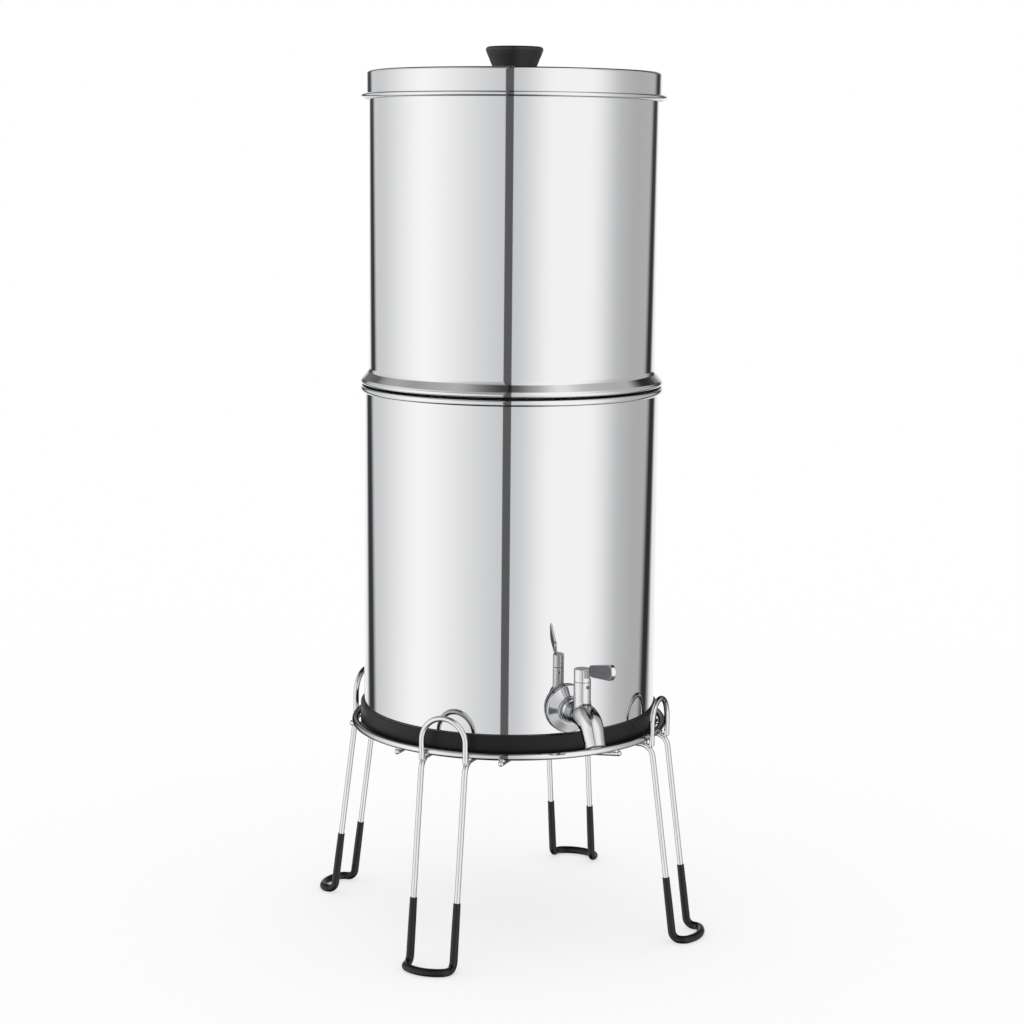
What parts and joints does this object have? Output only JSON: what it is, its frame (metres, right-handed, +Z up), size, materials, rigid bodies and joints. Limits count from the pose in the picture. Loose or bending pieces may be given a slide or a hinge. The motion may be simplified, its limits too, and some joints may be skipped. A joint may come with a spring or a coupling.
{
  "type": "gravity water filter with tap",
  "caption": "Countertop gravity water filter: stacked polished steel chambers with lid, inner filter elements and a lever tap, on a wire stand.",
  "frame": {"origin": "on the floor under the middle of the stand, on the chambers' axis", "axes": "+Z up, -Y towards the tap's outlet side, +X to the right as seen by a user who faces the tap"},
  "size_m": [0.2358, 0.3021, 0.6451],
  "materials": {
    "polished_steel": "mirror polished stainless steel",
    "steel": "plain stainless steel",
    "dark_steel": "dark plain steel",
    "chrome": "bright chrome",
    "brass": "machined brass",
    "knob_black": "satin black moulded plastic",
    "cap_black": "satin black plastic",
    "carbon": "matt pressed carbon",
    "nylon_white": "white nylon",
    "silicone": "translucent silicone",
    "rubber_black": "smooth black rubber",
    "sleeve_black": "smooth black dipped vinyl"
  },
  "bodies": {
    "stand": {"support_ring": "chrome", "cross_bars_upper": "chrome", "cross_bars_lower": "chrome", "leg_front_left": "chrome", "leg_front_right": "chrome", "leg_back_left": "chrome", "leg_back_right": "chrome", "arch_front_left": "chrome", "arch_front_right": "chrome", "arch_back_left": "chrome", "arch_back_right": "chrome", "sleeve_front_left": "sleeve_black", "sleeve_front_right": "sleeve_black", "sleeve_back_left": "sleeve_black", "sleeve_back_right": "sleeve_black"},
    "lower_vessel": {"lower_chamber": "polished_steel", "base_ring": "rubber_black", "tap_body": "chrome", "tap_escutcheon": "chrome", "tap_outer_washer": "silicone", "tap_inner_washer": "silicone", "tap_lock_nut": "steel", "tap_pin": "dark_steel"},
    "upper_vessel": {"upper_chamber": "polished_steel", "filter_block_left": "carbon", "filter_block_right": "carbon", "filter_top_left": "cap_black", "filter_top_right": "cap_black", "filter_base_left": "cap_black", "filter_base_right": "cap_black", "stem_washers": "silicone", "wing_nuts": "nylon_white", "blanking_plugs": "nylon_white", "plug_washers": "silicone", "plug_nuts": "nylon_white"},
    "lid": {"lid": "polished_steel", "lid_knob": "knob_black", "knob_insert": "brass", "knob_screw": "steel", "knob_washer": "steel"},
    "tap_valve": {"tap_plug": "brass", "plug_rings": "rubber_black", "tap_lever": "chrome", "lever_screw": "dark_steel"}
  },
  "joints": [
    {"name": "lower_vessel_lift", "type": "slide", "parent": "stand", "child": "lower_vessel", "axis": [0, 0, 1], "range_m": [0, 0.06]},
    {"name": "upper_vessel_lift", "type": "slide", "parent": "lower_vessel", "child": "upper_vessel", "axis": [0, 0, 1], "range_m": [0, 0.08]},
    {"name": "lid_lift", "type": "slide", "parent": "upper_vessel", "child": "lid", "axis": [0, 0, 1], "range_m": [0, 0.06]},
    {"name": "tap_turn", "type": "hinge", "parent": "lower_vessel", "child": "tap_valve", "pos_m": [0, -0.1328, 0.2], "axis": [0, 0, 1], "range_deg": [0, 90]}
  ]
}
